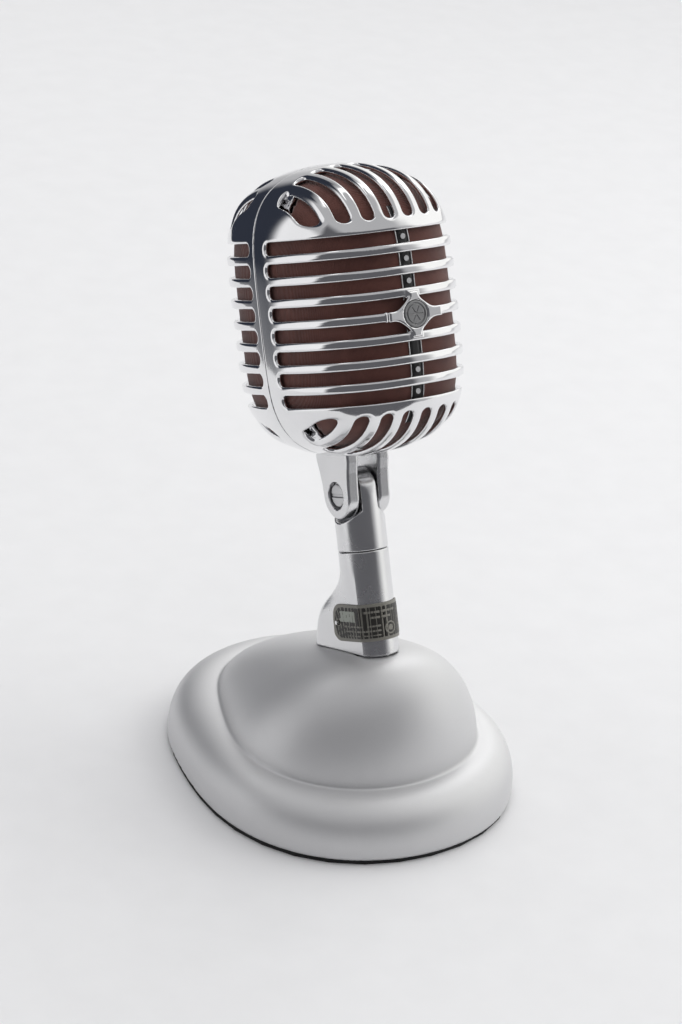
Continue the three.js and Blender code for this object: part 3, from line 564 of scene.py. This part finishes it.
def shell(side):
    """One half of the head with its slots and screw lugs; side is -1 for the front and 1 for the rear."""

    def field(x, y, z):
        outer = head_distance(x, y, z)
        body = np.maximum(outer, -(outer + WALL))
        body = soft_max(body, -bar_slots(y, z, side), 1.5)
        body = soft_max(body, -rib_slots(x, y, z, side), 1.5)
        near = np.where(z > 0, z - LUG_TOP, z - LUG_BOTTOM)
        away = np.where(z > 0, -near, near)
        lug = np.minimum(
            tube(np.abs(x) - LUG_X, near, LUG_RADIUS),
            np.maximum(np.abs(np.abs(x) - LUG_X) - 2.0, away),
        )
        reach = slab(y, -17.5, 5.0) if side < 0 else slab(y, -5.0, 11.5)
        lug = soft_max(soft_max(lug, reach, 0.5), outer + 1.9, 0.3)
        body = soft_min(body, lug, 0.5)
        screw_hole = np.maximum(tube(np.abs(x) - LUG_X, near, 1.8), slab(y, -7.0, 15.0))
        body = np.maximum(body, -screw_hole)
        opening = np.maximum(np.maximum(np.abs(x) - 11.4, slab(y, -7.7, 20.4)), z + 40)
        body = soft_max(body, -opening, 0.8)
        if side < 0:
            diamond = tube(x, z, BOSS_RADIUS)
            diamond = soft_min(diamond, np.maximum(np.abs(x) - 2.2, np.abs(z) - 9.3), 3.0)
            diamond = soft_min(diamond, np.maximum(np.abs(z) - 2.1, np.abs(x) - 13.0), 4.5)
            boss = soft_max(diamond, slab(y, BOSS_FRONT, BOSS_BACK), 0.8)
            body = soft_min(body, boss, 1.0)
            recess = np.maximum(tube(x, z, BADGE_RADIUS + 0.2), y - (BADGE_BACK + 0.3))
            body = soft_max(body, -recess, 0.5)
            return soft_max(body, y - (SEAM - 0.15), 0.5)
        return soft_max(body, SEAM + 0.15 - y, 0.5)

    return field


HEAD_STEP = 0.6
add_solid("grille_front", shell(-1), (-42, -58, -61.5), (42, 1, 65.5), HEAD_STEP, HEAD, "head",
          "bright_chrome", ["front_shell"])
add_solid("grille_rear", shell(1), (-42, 0.5, -61.5), (42, 56.5, 65.5), HEAD_STEP, HEAD, "head",
          "bright_chrome", ["rear_shell"])


def badge(x, y, z):
    r = np.hypot(x, z)
    face = BADGE_FRONT - y
    groove = np.maximum(np.abs(r - 4.3) - 0.3, y + 56.55)
    spokes = np.abs(np.sin(3 * np.arctan2(z, x))) * r - 0.5
    star = np.maximum(np.maximum(spokes, r - 3.4), y + 56.6)
    disc = soft_max(soft_max(r - BADGE_RADIUS, face, 0.4), y - BADGE_BACK, 0.3)
    return np.maximum(np.maximum(disc, -groove), -star)


add_solid("badge_face", badge, (-6.2, -57.1, -6.2), (6.2, -55.5, 6.2), 0.25, HEAD, "head",
          "satin_nickel", ["badge_disc"], "badge_nickel")


# ---- Lining and centre strip -----------------------------------------------------------------------


def lining_points(offset, angles, rises, side):
    """Points of the head's surface moved in by an offset, over angles from the middle of one shell."""
    a, f = np.meshgrid(angles, rises, indexing="ij")
    power = 2 / PLAN_POWER
    ring = np.cos(f)
    up = f >= 0
    root = np.where(up, 2 / TOP_POWER, 2 / BOTTOM_POWER)
    height = np.where(up, TOP - offset, BOTTOM - offset)
    x = (HALF_X - offset) * ring * np.sign(np.sin(a)) * np.abs(np.sin(a)) ** power
    y = side * (HALF_Y - offset) * ring * np.abs(np.cos(a)) ** power
    z = height * np.sign(f) * np.abs(np.sin(f)) ** root
    return np.stack([x, y, z], -1)


def grid_faces(rows, columns, flip):
    i, j = np.meshgrid(np.arange(rows - 1), np.arange(columns - 1), indexing="ij")
    a = (i * columns + j).ravel()
    faces = np.stack([a, a + 1, a + columns + 1, a + columns], 1)
    return faces[:, ::-1] if flip else faces


def thicken(piece, thickness):
    solid = piece.modifiers.new("thickness", "SOLIDIFY")
    solid.thickness = thickness * MM
    solid.offset = 0.0
    return piece


def lining(name, side, node):
    angles = np.radians(np.linspace(-90, 90, 121))
    rises = np.radians(np.concatenate([
        np.linspace(-89, -6, 48), np.linspace(-4, 4, 5) ** 3 / 16, np.linspace(6, 89, 48)]))
    grid = lining_points(CLOTH_OFFSET, angles, rises, side)
    points = grid.reshape(-1, 3)
    faces = grid_faces(len(angles), len(rises), side > 0)
    middle = points[faces].mean(1)
    x, y, z = np.abs(middle[:, 0]), middle[:, 1], middle[:, 2]
    yoke_gap = (x < 20.2) & (y > -9.5) & (y < 22) & (z < -48)
    near = np.where(z > 0, z - LUG_TOP, LUG_BOTTOM - z)
    lug_gap = (np.abs(x - LUG_X) < 4.6) & (y > -19) & (y < 14.5) & (near > -4.5)
    faces = faces[~(yoke_gap | lug_gap)]
    used, inverse = np.unique(faces, return_inverse=True)
    points, faces = points[used], inverse.reshape(faces.shape)
    piece = add_mesh(name, points, faces, None, HEAD, "head", MATERIALS["silk"], "silk", [node])
    thicken(piece, 0.35)
    return piece


lining("lining_front", -1, "front_cloth")
lining("lining_rear", 1, "rear_cloth")


def strip(name, low_x, high_x, offset, thickness, slot, nodes=()):
    rises = np.radians(np.linspace(-68, 68, 90))
    line = lining_points(offset, np.zeros(1), rises, -1)[0]
    line = line[np.abs(line[:, 2]) < 46]
    across = np.linspace(low_x, high_x, 4)
    points = np.concatenate([line + (x, 0, 0) for x in across])
    faces = grid_faces(len(across), len(line), False)
    piece = add_mesh(name, points, faces, None, HEAD, "head", MATERIALS[slot], slot, nodes)
    return thicken(piece, thickness)


# The centre strip is painted near black as a painted dark reflection of the room in its chrome, between
# two satin nickel edge strips
strip("strip_painted_dark_reflection", -STRIP_HALF, STRIP_HALF, STRIP_OFFSET + 0.25, 0.4, "dark_steel", ["centre_strip"])
strip("strip_edge_left", -STRIP_HALF - 0.45, -STRIP_HALF - 0.05, STRIP_OFFSET + 0.15, 0.6, "satin_nickel")
strip("strip_edge_right", STRIP_HALF + 0.05, STRIP_HALF + 0.45, STRIP_OFFSET + 0.15, 0.6, "satin_nickel")


# ---- Yoke and bolt ---------------------------------------------------------------------------------

PIVOT_Y = -HEAD_CENTRE.y
PIVOT_Z = PIVOT_HEIGHT - HEAD_CENTRE.z


def yoke(x, y, z):
    dy, dz = y - PIVOT_Y, z - PIVOT_Z
    flare = np.interp(dz, [0, 5, 10, 15, 30], [10.4, 10.8, 11.9, 13.4, 13.6])
    front = np.interp(dz, [0, 5, 10, 15, 30], [10.4, 10.7, 11.4, 12.6, 12.6])
    strap = np.maximum(np.maximum(dy - flare, -dy - front), np.maximum(-dz, z + 52.0))
    outline = np.minimum(np.hypot(dy, dz) - EAR_RADIUS, strap)
    ear = soft_max(outline, slab(np.abs(x), EAR_INNER, EAR_OUTER), 1.2)
    plate = np.maximum(np.maximum(np.abs(x) - 19.5, slab(y, -8.8, 20.0)), z - YOKE_TOP)
    plate = np.maximum(plate, YOKE_BOTTOM - z)
    plate = np.maximum(plate, head_distance(x, y, z) + 3.5)
    body = soft_min(ear, plate, 1.0)
    body = soft_max(body, -np.maximum(np.hypot(dy, dz) - 6.0, 8.2 - np.abs(x)), 0.4)
    for sx, sy in ((15.4, -3.6), (15.4, 7.6)):
        body = np.maximum(body, -tube(np.abs(x) - sx, y - sy, 1.7))
    return np.maximum(body, -(np.hypot(dy, dz) - PIVOT_RADIUS))


add_solid("yoke_casting", yoke, (-20, -9, -89), (20, 21, -51.5), 0.55, HEAD, "head", "satin_nickel",
          ["yoke"])


def bolt(x, y, z):
    dy, dz = y - PIVOT_Y, z - PIVOT_Z
    r = np.hypot(dy, dz)
    crown = -(x + 10.3) + r * r * 0.012
    head = soft_max(soft_max(r - 5.0, crown, 0.5), x + 8.5, 0.2)
    slot = np.maximum(np.abs(dz) - 0.7, x + 9.6)
    body = np.minimum(head, np.maximum(r - 3.0, slab(x, -9.0, 9.8)))
    return soft_max(body, -slot, 0.2)


add_solid("tilt_bolt", bolt, (-10.5, 1, -83), (10, 11.6, -72.5), 0.3, HEAD, "head", "plain_steel",
          ["pivot_bolt"])


# ---- Nameplate -------------------------------------------------------------------------------------

PLATE_LOW, PLATE_HIGH, PLATE_BACK = 6.8, 23.2, 8.0


def plate_outline(y, z, inset):
    middle, half = (PLATE_LOW + PLATE_HIGH) / 2, (PLATE_HIGH - PLATE_LOW) / 2 - inset
    back = PLATE_BACK + 3 - inset
    return rounded_corner(y - back, np.abs(z - middle) - half, 4.6)


def plate_layer(outline, low, high):
    def field(x, y, z):
        off = housing_section(x, y, z)
        return soft_max(outline(x, y, z), slab(off, low, high), 0.15)

    return field


def plate_main(x, y, z):
    pins = tube(y - 7.6, z - 15.0, 1.2)
    return np.maximum(plate_outline(y, z, 0.0), -pins)


PLATE_BOX = ((-14.6, -12.2, 6.4), (14.6, 11.4, 23.6))
add_solid("name_band", plate_layer(plate_main, 0.25, 0.7), *PLATE_BOX, 0.3, STEM, "stand", "plate_black",
          ["nameplate"], "plate_edge")


def plate_ground(x, y, z):
    return np.maximum(plate_outline(y, z, 1.3), -tube(y - 7.6, z - 15.0, 1.6))


add_solid("plate_ground", plate_layer(plate_ground, 0.5, 0.78), *PLATE_BOX, 0.3, STEM, "stand",
          "plate_black")


def plate_patch(start, end, z0, z1):
    """A raised mark between two distances along the plate, counted from its front, and two heights."""

    def outline(x, y, z):
        along = STEM_RADIUS * np.arctan2(x, -y)
        return np.maximum(slab(along, start, end), slab(z, z0, z1))

    return outline


add_solid("plate_window", plate_layer(plate_patch(-22.4, -13.4, 15.4, 20.3), 0.6, 0.9), *PLATE_BOX, 0.3,
          STEM, "stand", "ring_aluminium", (), "plate_window")
# Start and end along the plate, then the two heights
MARKS = (
    (-9.0, 5.6, 19.1, 20.2),
    (-6.5, 3.4, 16.7, 17.8),
    (-20.6, -9.5, 13.0, 14.0),
    (-8.0, -1.6, 13.0, 14.0),
    (-19.6, -1.8, 10.9, 11.8),
    (-18.0, -11.0, 9.0, 9.8),
    (-9.6, -2.2, 9.0, 9.8),
    (7.4, 21.0, 18.4, 19.6),
    (7.4, 17.0, 15.2, 16.2),
    (7.4, 20.0, 12.0, 13.0),
    (7.4, 15.0, 9.2, 10.2),
)
for number, mark in enumerate(MARKS):
    add_solid(f"plate_mark_{number + 1}", plate_layer(plate_patch(*mark), 0.6, 0.88), *PLATE_BOX, 0.3,
              STEM, "stand", "ring_aluminium", (), "plate_edge")


def emblem(x, y, z):
    r = np.hypot(STEM_RADIUS * np.arctan2(x, -y) - 2.5, z - 11.9)
    return np.minimum(np.abs(r - 2.5) - 0.35, r - 1.3)


add_solid("plate_emblem", plate_layer(emblem, 0.6, 0.9), (-5, -12.2, 8), (8, -9, 17), 0.25, STEM,
          "stand", "ring_aluminium", (), "plate_edge")


# ---- Camera, floor and light -----------------------------------------------------------------------


def aim(obj, place, target, roll=0.0):
    """Put an object at a place, in metres, with its -Z axis towards the target."""
    forward = (Vector(target) - Vector(place)).normalized()
    side = forward.cross(Vector((0, 0, 1))).normalized()
    up = side.cross(forward)
    c, s = math.cos(roll), math.sin(roll)
    right, top = side * c + up * s, up * c - side * s
    matrix = Matrix((right, top, -forward)).transposed().to_4x4()
    matrix.translation = Vector(place)
    obj.matrix_world = matrix


camera = bpy.data.objects.new("camera", bpy.data.cameras.new("camera"))
bpy.context.scene.collection.objects.link(camera)
camera.data.lens = 105.47
camera.data.sensor_width = 36.0
camera.data.clip_end = 50.0
CAMERA_PLACE, CAMERA_TARGET, CAMERA_ROLL = (-0.6698, -0.9570, 0.7211), (0.01979, 0.03845, 0.10132), 6.91
aim(camera, CAMERA_PLACE, CAMERA_TARGET, math.radians(CAMERA_ROLL))
bpy.context.scene.camera = camera


def area_light(name, place, target, size, watts, colour=(1, 1, 1)):
    data = bpy.data.lights.new(name, "AREA")
    data.shape = "RECTANGLE"
    data.size, data.size_y = size
    data.energy = watts
    data.color = colour
    light = bpy.data.objects.new(name, data)
    bpy.context.scene.collection.objects.link(light)
    aim(light, place, target)
    return light


VIEW = Vector((-0.573, -0.819, 0.0))  # towards whoever takes the picture, level
SIDE = Vector((0.819, -0.573, 0.0))


def floor_sheet(name, near, left, far, level):
    """A level sheet that reaches `near` towards the viewer, `left` to the left and `far` elsewhere."""
    corners = [VIEW * a + SIDE * b for a, b in ((near, -left), (-far, -left), (-far, far), (near, far))]
    mesh = bpy.data.meshes.new(name)
    mesh.from_pydata([(c.x, c.y, level) for c in corners], [], [(0, 1, 2, 3)])
    mesh.materials.append(FLOOR_PAPER)
    sheet = bpy.data.objects.new(name, mesh)
    bpy.context.scene.collection.objects.link(sheet)
    if mesh.polygons[0].normal.z < 0:
        mesh.flip_normals()
    return sheet


FLOOR_PAPER = plain("floor_paper", grey(0.80), grey(0.82), (0.8, 0.9), 200.0, 0.02)
floor = floor_sheet("floor", 6.0, 6.0, 6.0, 0.0)
floor.visible_glossy = False
# The bright surface that polished metal sees is smaller than the one the camera sees
reflected = floor_sheet("floor_in_reflections", 0.27, 0.42, 3.0, 0.0003)
reflected.visible_camera = False
reflected.visible_diffuse = False
reflected.visible_shadow = False

CENTRE = (0, 0, 0.14)
key = area_light("key", (1.25, -0.15, 0.95), CENTRE, (1.1, 0.9), 6)
top = area_light("top", (-0.1, 0.2, 2.2), CENTRE, (2.4, 2.4), 14)
rim = area_light("rim", (-0.2, 1.5, 1.2), CENTRE, (1.0, 0.5), 2)
for light in (key, top, rim):
    light.visible_glossy = False

world = bpy.data.worlds.new("studio")
bpy.context.scene.world = world
world.use_nodes = True
tree = world.node_tree
background = tree.nodes["Background"]
direction = tree.nodes.new("ShaderNodeTexCoord").outputs["Generated"]


def sky(kind, first, second=None):
    node = tree.nodes.new("ShaderNodeMath")
    node.operation = kind
    for socket, value in zip(node.inputs, (first, second)):
        if isinstance(value, (int, float)):
            socket.default_value = value
        elif value is not None:
            tree.links.new(value, socket)
    return node.outputs[0]


def along(vector):
    dot = tree.nodes.new("ShaderNodeVectorMath")
    dot.operation = "DOT_PRODUCT"
    dot.inputs[1].default_value = vector
    tree.links.new(direction, dot.inputs[0])
    return dot.outputs["Value"]


def window(angle, half, soft):
    """1 where an angle in radians is within half degrees of 0, and 0 beyond."""
    share = tree.nodes.new("ShaderNodeMapRange")
    share.interpolation_type = "SMOOTHSTEP"
    share.inputs["From Min"].default_value = math.radians(half + soft)
    share.inputs["From Max"].default_value = math.radians(half - soft)
    tree.links.new(sky("ABSOLUTE", angle), share.inputs["Value"])
    return share.outputs["Result"]


RISE = sky("ARCSINE", along((0, 0, 1)))


def card(azimuth, elevation, half_width, half_height, soft):
    """A soft-edged panel of the sky; azimuth 0 is +Y and 90 is +X."""
    c, s = math.cos(math.radians(azimuth)), math.sin(math.radians(azimuth))
    across = sky("ARCTAN2", along((c, -s, 0)), along((s, c, 0)))
    rise = sky("SUBTRACT", RISE, math.radians(elevation))
    return sky("MULTIPLY", window(across, half_width, soft), window(rise, half_height, soft))


colour = tree.nodes.new("ShaderNodeRGB").outputs[0]
colour.default_value = (0.48, 0.48, 0.49, 1)
# Azimuth, elevation, half width, half height and softness in degrees, then the tone
CARDS = (
    ((82, 22, 54, 44, 8), (1.1, 1.1, 1.08)),  # bright wall on the right
    ((48, 42, 14, 18, 6), (2.2, 2.2, 2.2)),  # lamp at the right, behind
    ((-10, 54, 46, 5, 3), (1.5, 1.5, 1.5)),  # strip lamp overhead, behind
    ((-66, -10, 24, 28, 4), (0.95, 0.95, 0.96)),  # bright panel on the left
    ((-150, -2, 60, 36, 4), (0.12, 0.12, 0.13)),  # dark room around the viewer
    ((-15, 8, 27, 33, 6), (0.03, 0.035, 0.05)),  # dark wall at the back, on the left
)
for place, tone in CARDS:
    mix = tree.nodes.new("ShaderNodeMix")
    mix.data_type = "RGBA"
    tree.links.new(card(*place), mix.inputs["Factor"])
    tree.links.new(colour, mix.inputs[6])
    mix.inputs[7].default_value = (*tone, 1)
    colour = mix.outputs[2]
tree.links.new(colour, background.inputs["Color"])
background.inputs["Strength"].default_value = 1.0
bpy.context.scene.view_settings.view_transform = "Standard"
